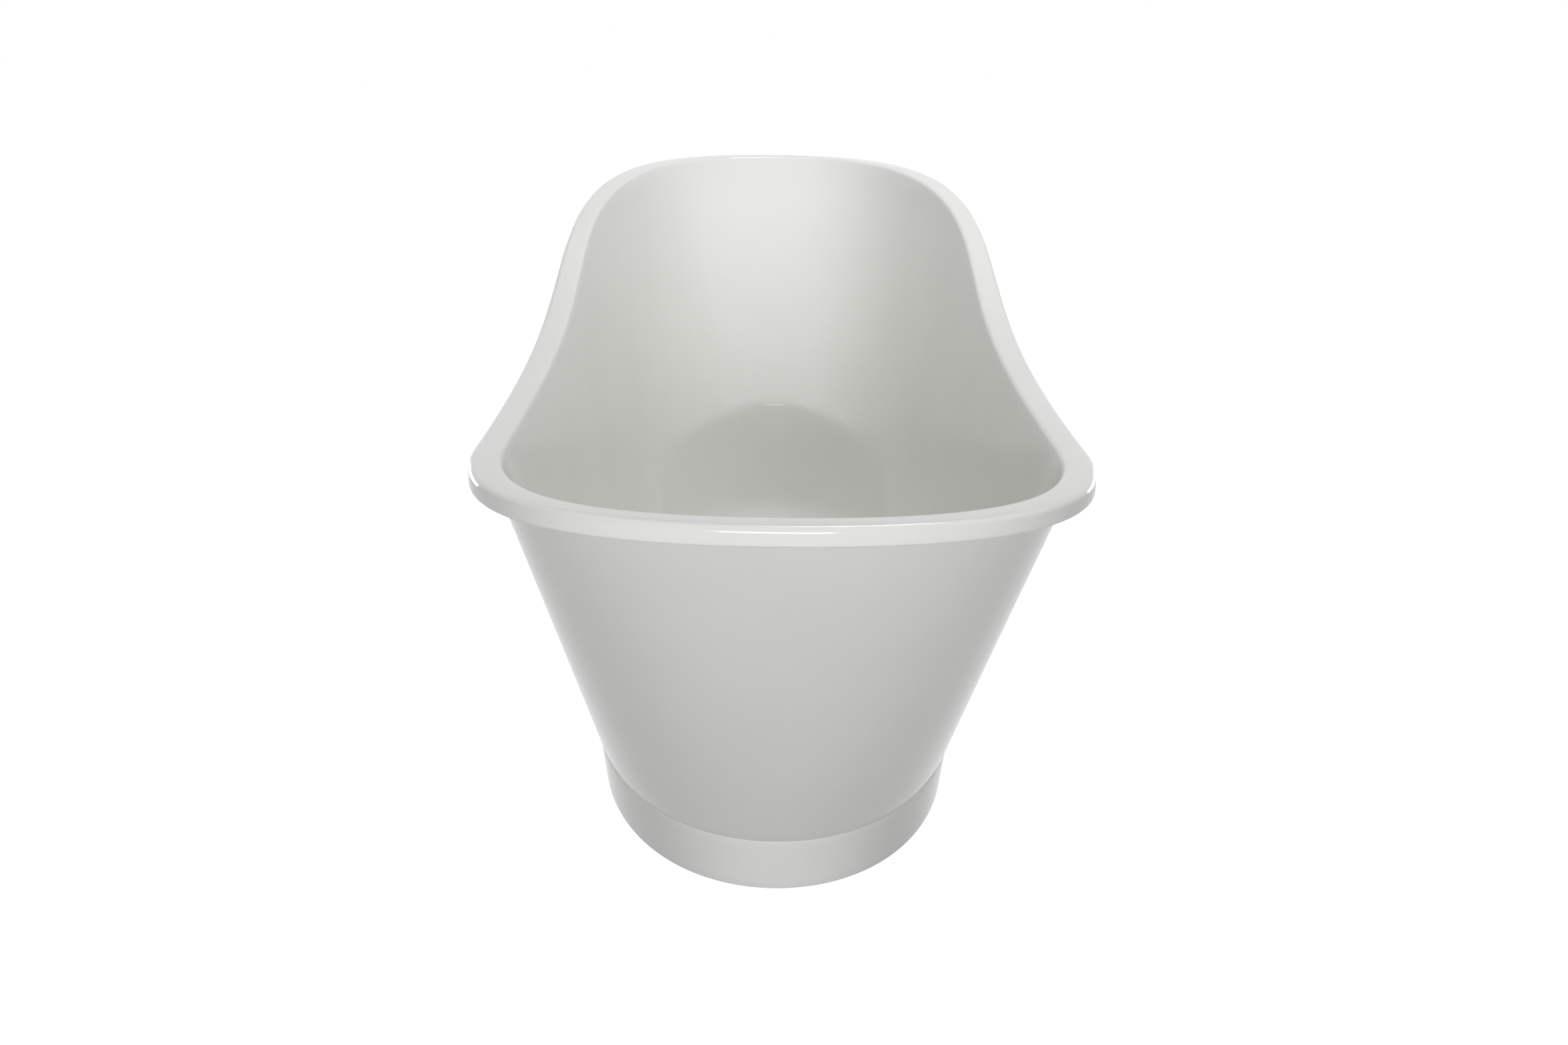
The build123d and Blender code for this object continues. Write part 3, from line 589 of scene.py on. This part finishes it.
# Click-clack plug cap: a polished disc with a rounded edge
capShape = {
    "radius": 31.5,
    "bottom": 153.0,
    "height": 6.0,
    "round": 2.5,
    "footRound": 0.8,
    "bite": 3.0,
    "stemRadius": 4.5,
}
low, high = capShape["bottom"], capShape["bottom"] + capShape["height"]
inner, outer, seat = capShape["stemRadius"], capShape["radius"], low + capShape["bite"]
corners = [(0, seat), (inner, seat), (inner, low), (outer, low), (outer, high), (0, high)]
radii = [0, 0, 0, capShape["footRound"], capShape["round"], 0]
plugCap = turned("plugCap", easedProfile(corners, radii))
plugCap.data.transform(Matrix.Translation((0, drain["y"] * mm, 0)))
smooth(plugCap, 30)

# Waste flange: polished plate with its tube, four windows and the spider that holds the cartridge
flangeShape = {
    "radius": 35.0,
    "bore": 20.0,
    "tubeRadius": 23.5,
    "bottom": 148.5,
    "plate": 3.0,
    "round": 1.0,
    "tubeEnd": 86.5,
    "windowWidth": 12.0,
    "windowHeight": 10.0,
    "windowMiddle": 125.5,
    "spiderTop": 124.5,
    "spiderHeight": 6.0,
    "spiderRadius": 10.0,
    "spiderBore": 7.05,
    "spokeWidth": 3.0,
    "spokeBite": 1.5,  # how far a spoke runs into the tube's wall
}
low, high = flangeShape["bottom"], flangeShape["bottom"] + flangeShape["plate"]
corners = [
    (flangeShape["bore"], flangeShape["tubeEnd"]),
    (flangeShape["tubeRadius"], flangeShape["tubeEnd"]),
    (flangeShape["tubeRadius"], low),
    (flangeShape["radius"], low),
    (flangeShape["radius"], high),
    (flangeShape["bore"], high),
    (flangeShape["bore"], flangeShape["tubeEnd"]),
]
edge = flangeShape["round"]
wasteFlange = turned("wasteFlange", easedProfile(corners, [0, 0, 0, 0, edge, edge, 0]))


def boxAt(size, middle, turnBy):
    deselectAll()
    bpy.ops.mesh.primitive_cube_add(size=1, location=[v * mm for v in middle], rotation=(0, 0, turnBy))
    box = bpy.context.object
    box.scale = [v * mm for v in size]
    return box


for turnBy in (pi / 4, 3 * pi / 4):
    window = (4 * flangeShape["tubeRadius"], flangeShape["windowWidth"], flangeShape["windowHeight"])
    cutWith(wasteFlange, boxAt(window, (0, 0, flangeShape["windowMiddle"]), turnBy))
low = flangeShape["spiderTop"] - flangeShape["spiderHeight"]
inner, outer, top = flangeShape["spiderBore"], flangeShape["spiderRadius"], flangeShape["spiderTop"]
bossRing = [(inner, low), (outer, low), (outer, top), (inner, top), (inner, low)]
parts = [turned("spiderBoss", bossRing, 48)]
spokeEnd = flangeShape["bore"] + flangeShape["spokeBite"]
reachOut = (spokeEnd - (inner + outer) / 2, flangeShape["spokeWidth"], flangeShape["spiderHeight"])
for k in range(4):
    out = (inner + outer) / 4 + spokeEnd / 2
    place = (out * cos(k * pi / 2), out * sin(k * pi / 2), (low + top) / 2)
    parts.append(boxAt(reachOut, place, k * pi / 2))
deselectAll()
for part in parts + [wasteFlange]:
    part.select_set(True)
bpy.context.view_layer.objects.active = wasteFlange
bpy.ops.object.transform_apply(location=True, rotation=True, scale=True)
bpy.ops.object.join()
wasteFlange.data.transform(Matrix.Translation((0, drain["y"] * mm, 0)))
smooth(wasteFlange, 30)
print("waste flange")

# Overflow cover: a shallow polished cup with its mouth to the wall and a slot at its lower edge
faceShape = {
    "radius": 34.0,
    "height": 9.0,
    "gap": 0.9,
    "round": 3.0,
    "innerRound": 1.0,
    "holeRound": 0.5,
    "wall": 2.0,
    "screwHole": 3.3,
    "slotWidth": 34.0,
    "slotDepth": 17.0,
    "slotHeight": 5.0,
}
low, high = faceShape["gap"], faceShape["gap"] + faceShape["height"]
inner, outer, hole = faceShape["radius"] - faceShape["wall"], faceShape["radius"], faceShape["screwHole"]
under = high - faceShape["wall"]
corners = [
    (hole, under), (inner, under), (inner, low), (outer, low), (outer, high), (hole, high), (hole, under)
]
radii = [0, faceShape["innerRound"], 0, 0, faceShape["round"], faceShape["holeRound"], 0]
overflowCover = turned("overflowCover", easedProfile(corners, radii))
slot = (faceShape["slotWidth"], 2 * faceShape["slotDepth"], 2 * faceShape["slotHeight"])
cutWith(overflowCover, boxAt(slot, (0, outer, low), 0))
downWall = Vector((0, sin(lean), -cos(lean)))
acrossWall = downWall.cross(overflowOut)
coverTurn = Matrix((acrossWall, downWall, overflowOut)).transposed()
overflowCover.data.transform(Matrix.Translation(overflowAt) @ coverTurn.to_4x4())
smooth(overflowCover, 30)
print("overflow cover")


def linear(code):
    values = [int(code[k : k + 2], 16) / 255 for k in (1, 3, 5)]
    return tuple([v / 12.92 if v <= 0.04045 else ((v + 0.055) / 1.055) ** 2.4 for v in values] + [1.0])


def addNode(tree, kind, settings=None, inputs=None, links=None):
    # adds a node, sets its properties and sockets, and links outputs into it
    node = tree.nodes.new(kind)
    for key, value in (settings or {}).items():
        setattr(node, key, value)
    for key, value in (inputs or {}).items():
        node.inputs[key].default_value = value
    for key, (source, output) in (links or {}).items():
        tree.links.new(source.outputs[output], node.inputs[key])
    return node


def newMaterial(name, inputs):
    material = bpy.data.materials.new(name)
    material.use_nodes = True
    tree = material.node_tree
    tree.nodes.clear()
    output = addNode(tree, "ShaderNodeOutputMaterial")
    shader = addNode(tree, "ShaderNodeBsdfPrincipled", inputs=inputs)
    tree.links.new(shader.outputs["BSDF"], output.inputs["Surface"])
    place = addNode(tree, "ShaderNodeTexCoord")
    return material, tree, shader, place


def mottled(tree, shader, place, first, second, size):
    # colour drifting between two tones over patches of a size in millimetres
    noise = addNode(
        tree, "ShaderNodeTexNoise", inputs={"Scale": 1000 / size, "Detail": 3.0},
        links={"Vector": (place, "Object")},
    )
    ramp = addNode(tree, "ShaderNodeValToRGB", links={"Fac": (noise, "Fac")})
    ramp.color_ramp.elements[0].position = 0.35
    ramp.color_ramp.elements[1].position = 0.65
    ramp.color_ramp.elements[0].color = linear(first)
    ramp.color_ramp.elements[1].color = linear(second)
    tree.links.new(ramp.outputs["Color"], shader.inputs["Base Color"])


def bumped(tree, shader, place, size, depth, detail=2.0, stretch=None):
    # fine relief: size and depth in millimetres
    source = (place, "Object")
    if stretch:
        mapping = addNode(
            tree, "ShaderNodeMapping", inputs={"Scale": stretch}, links={"Vector": (place, "Object")}
        )
        source = (mapping, "Vector")
    noise = addNode(
        tree, "ShaderNodeTexNoise", inputs={"Scale": 1000 / size, "Detail": detail},
        links={"Vector": source},
    )
    bump = addNode(
        tree, "ShaderNodeBump", inputs={"Strength": 1.0, "Distance": depth * mm},
        links={"Height": (noise, "Fac")},
    )
    tree.links.new(bump.outputs["Normal"], shader.inputs["Normal"])


# Sanitary acrylic: a cast sheet drawn over a mould and polished, glossy with a faint long wave
acrylic = {"tone": "#ededea", "shade": "#ebebe8", "roughness": 0.09, "wave": 90.0, "waveDepth": 0.035}
acrylicMaterial, tree, shader, place = newMaterial(
    "polished white acrylic",
    {"Roughness": acrylic["roughness"], "IOR": 1.49, "Specular IOR Level": 0.25},
)
mottled(tree, shader, place, acrylic["tone"], acrylic["shade"], 140.0)
bumped(tree, shader, place, acrylic["wave"], acrylic["waveDepth"], detail=1.0)

# Chrome plate on brass: mirror bright, barely marked
chromeMaterial, tree, shader, place = newMaterial(
    "polished chrome plate", {"Metallic": 1.0, "Roughness": 0.06}
)
mottled(tree, shader, place, "#d6d8da", "#cfd2d5", 12.0)
bumped(tree, shader, place, 3.0, 0.002)

# Zinc plated steel: drawn tube with a dull, slightly streaked plate
zincMaterial, tree, shader, place = newMaterial(
    "zinc plated steel", {"Metallic": 1.0, "Roughness": 0.42}
)
mottled(tree, shader, place, "#a9adb0", "#8f9497", 9.0)
bumped(tree, shader, place, 1.2, 0.03, stretch=(1.0, 0.12, 1.0))

# Plywood board: rotary cut face veneer with long grain, raw
plyMaterial, tree, shader, place = newMaterial("birch plywood", {"Roughness": 0.62})
grain = addNode(
    tree, "ShaderNodeMapping", inputs={"Scale": (1.0, 0.07, 1.0)}, links={"Vector": (place, "Object")}
)
rings = addNode(
    tree, "ShaderNodeTexNoise", inputs={"Scale": 55.0, "Detail": 6.0},
    links={"Vector": (grain, "Vector")},
)
ramp = addNode(tree, "ShaderNodeValToRGB", links={"Fac": (rings, "Fac")})
ramp.color_ramp.elements[0].position = 0.3
ramp.color_ramp.elements[1].position = 0.72
ramp.color_ramp.elements[0].color = linear("#b58e5e")
ramp.color_ramp.elements[1].color = linear("#d8b888")
tree.links.new(ramp.outputs["Color"], shader.inputs["Base Color"])
bump = addNode(
    tree, "ShaderNodeBump", inputs={"Strength": 1.0, "Distance": 0.1 * mm},
    links={"Height": (rings, "Fac")},
)
tree.links.new(bump.outputs["Normal"], shader.inputs["Normal"])

# Moulded rubber: dull black with a fine grain
rubberMaterial, tree, shader, place = newMaterial("moulded rubber", {"Roughness": 0.78})
mottled(tree, shader, place, "#1c1c1d", "#262627", 4.0)
bumped(tree, shader, place, 0.8, 0.04)

# Moulded polypropylene: satin white with a faint mould texture
polyMaterial, tree, shader, place = newMaterial(
    "moulded white polypropylene", {"Roughness": 0.38, "IOR": 1.49}
)
mottled(tree, shader, place, "#e4e5e3", "#dcddda", 18.0)
bumped(tree, shader, place, 1.5, 0.02)

# Flexible overflow hose: extruded grey vinyl
hoseMaterial, tree, shader, place = newMaterial("extruded grey vinyl", {"Roughness": 0.45, "IOR": 1.52})
mottled(tree, shader, place, "#9a9d9e", "#8e9192", 10.0)
bumped(tree, shader, place, 2.0, 0.05)

# Turned acetal: close to white, slightly waxy
acetalMaterial, tree, shader, place = newMaterial("white acetal", {"Roughness": 0.3, "IOR": 1.48})
mottled(tree, shader, place, "#e9e8e2", "#e2e1da", 8.0)
bumped(tree, shader, place, 0.9, 0.01)

# Moulded nylon: black with a satin grain
nylonMaterial, tree, shader, place = newMaterial("moulded black nylon", {"Roughness": 0.5, "IOR": 1.53})
mottled(tree, shader, place, "#17181a", "#202124", 6.0)
bumped(tree, shader, place, 1.0, 0.03)

finishes = {
    "white_acrylic": acrylicMaterial,
    "board": plyMaterial,
    "zinc_steel": zincMaterial,
    "chrome": chromeMaterial,
    "rubber": rubberMaterial,
    "white_polypropylene": polyMaterial,
    "grey_hose": hoseMaterial,
    "white_acetal": acetalMaterial,
    "black_nylon": nylonMaterial,
}
for entry in frame["record"]["subparts"]:
    node = frame["nodes"][entry["node"]]
    for slotIndex in range(len(node.data.materials)):
        node.data.materials[slotIndex] = finishes[entry["material_slot"]]
    if not node.data.materials:
        node.data.materials.append(finishes[entry["material_slot"]])
print("materials")

for piece, node, body, slotName in (
    (bathShell, "bath_shell", "tub", "white_acrylic"),
    (outerSkirt, "outer_skirt", "tub", "white_acrylic"),
    (plinth, "plinth", "tub", "white_acrylic"),
    (plugCap, "plug_cap", "plug", "chrome"),
    (wasteFlange, "waste_flange", "tub", "chrome"),
    (overflowCover, "overflow_face", "tub", "chrome"),
):
    piece.data.materials.clear()
    piece.data.materials.append(finishes[slotName])
    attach(piece, body)
    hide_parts(node)

# White floor and backdrop. Strength 1 is white; what gloss and glass show of them is white too,
# while diffuse light meets a dimmer floor and a dimmer sky
stage = {
    "size": 60,
    "floorTone": "#f2f2f2",
    "floorBounce": "#707070",
    "floorGlow": 0.85,
    "worldLight": 0.22,
}


def largest(tree, first, second):
    return addNode(tree, "ShaderNodeMath", {"operation": "MAXIMUM"}, links={0: first, 1: second})


deselectAll()
bpy.ops.mesh.primitive_plane_add(size=stage["size"], location=(0, 0, 0))
floor = bpy.context.object
floor.name = "floor"
floorMaterial = bpy.data.materials.new("white studio floor")
floorMaterial.use_nodes = True
tree = floorMaterial.node_tree
tree.nodes.clear()
path = addNode(tree, "ShaderNodeLightPath")
direct = largest(tree, (path, "Is Camera Ray"), (path, "Is Transmission Ray"))
glow = addNode(
    tree, "ShaderNodeMath", {"operation": "MULTIPLY"}, inputs={1: stage["floorGlow"]},
    links={0: (direct, 0)},
)
shine = addNode(
    tree, "ShaderNodeEmission", inputs={"Color": (1, 1, 1, 1)}, links={"Strength": (glow, 0)}
)
paint = addNode(tree, "ShaderNodeBsdfDiffuse", inputs={"Color": linear(stage["floorTone"])})
bounce = addNode(tree, "ShaderNodeBsdfDiffuse", inputs={"Color": linear(stage["floorBounce"])})
surface = addNode(
    tree, "ShaderNodeMixShader", links={"Fac": (direct, 0), 1: (bounce, "BSDF"), 2: (paint, "BSDF")}
)
both = addNode(tree, "ShaderNodeAddShader", links={0: (shine, "Emission"), 1: (surface, "Shader")})
inGloss = addNode(
    tree, "ShaderNodeEmission", inputs={"Color": linear(stage["floorTone"]), "Strength": 1.0}
)
whole = addNode(
    tree, "ShaderNodeMixShader",
    links={"Fac": (path, "Is Glossy Ray"), 1: (both, "Shader"), 2: (inGloss, "Emission")},
)
addNode(tree, "ShaderNodeOutputMaterial", links={"Surface": (whole, "Shader")})
floor.data.materials.append(floorMaterial)

world = bpy.data.worlds.new("studio")
bpy.context.scene.world = world
world.use_nodes = True
tree = world.node_tree
tree.nodes.clear()
path = addNode(tree, "ShaderNodeLightPath")
direct = largest(tree, (path, "Is Camera Ray"), (path, "Is Transmission Ray"))
seen = largest(tree, (direct, 0), (path, "Is Glossy Ray"))
white = {"Color": (1, 1, 1, 1)}
sky = addNode(tree, "ShaderNodeBackground", inputs={**white, "Strength": 1.0})
fill = addNode(tree, "ShaderNodeBackground", inputs={**white, "Strength": stage["worldLight"]})
mix = addNode(
    tree, "ShaderNodeMixShader",
    links={"Fac": (seen, 0), 1: (fill, "Background"), 2: (sky, "Background")},
)
addNode(tree, "ShaderNodeOutputWorld", links={"Surface": (mix, "Shader")})

# Soft lamps: name, place, aim, size in metres, watts
lamps = (
    ("front softbox", (-0.1, -4.2, 0.72), (0, 0, 0.4), (1.6, 1.0), 86),
    ("overhead softbox", (0.45, 0.3, 3.1), (0, 0.1, 0.2), (1.0, 1.0), 36),
    ("rear left softbox", (-2.5, 2.9, 0.5), (0, 0.2, 0.35), (1.4, 0.9), 75),
    ("rear right softbox", (2.5, 2.9, 0.5), (0, 0.2, 0.35), (1.4, 0.9), 75),
)
for name, at, aim, size, watts in lamps:
    lamp = bpy.data.lights.new(name, "AREA")
    lamp.shape = "RECTANGLE"
    lamp.size, lamp.size_y = size
    lamp.energy = watts
    light = bpy.data.objects.new(name, lamp)
    bpy.context.scene.collection.objects.link(light)
    light.location = at
    light.rotation_euler = (Vector(aim) - Vector(at)).to_track_quat("-Z", "Y").to_euler()
print("stage and lights")

# Camera as the photograph was taken
view = {
    "at": (-0.0294, -2.3699, 1.0566),
    "yaw": 1.0,
    "pitch": -16.4,
    "roll": 0.8,
    "focalPixels": 2472.8,
    "widthPixels": 2352,
}
camera = bpy.data.cameras.new("camera")
camera.sensor_fit = "HORIZONTAL"
camera.sensor_width = 36.0
camera.lens = view["focalPixels"] * 36.0 / view["widthPixels"]
camera.clip_end = 100
eye = bpy.data.objects.new("camera", camera)
bpy.context.scene.collection.objects.link(eye)
yaw, pitch, roll = (radians(view[key]) for key in ("yaw", "pitch", "roll"))
forward = Vector((sin(yaw) * cos(pitch), cos(yaw) * cos(pitch), sin(pitch)))
level = Vector((cos(yaw), -sin(yaw), 0))
upright = level.cross(forward)
right = level * cos(roll) + upright * sin(roll)
up = upright * cos(roll) - level * sin(roll)
turn = Matrix((right, up, -forward)).transposed()
eye.matrix_world = Matrix.Translation(Vector(view["at"])) @ turn.to_4x4()
bpy.context.scene.camera = eye
bpy.context.scene.view_settings.view_transform = "Standard"

print("finished")
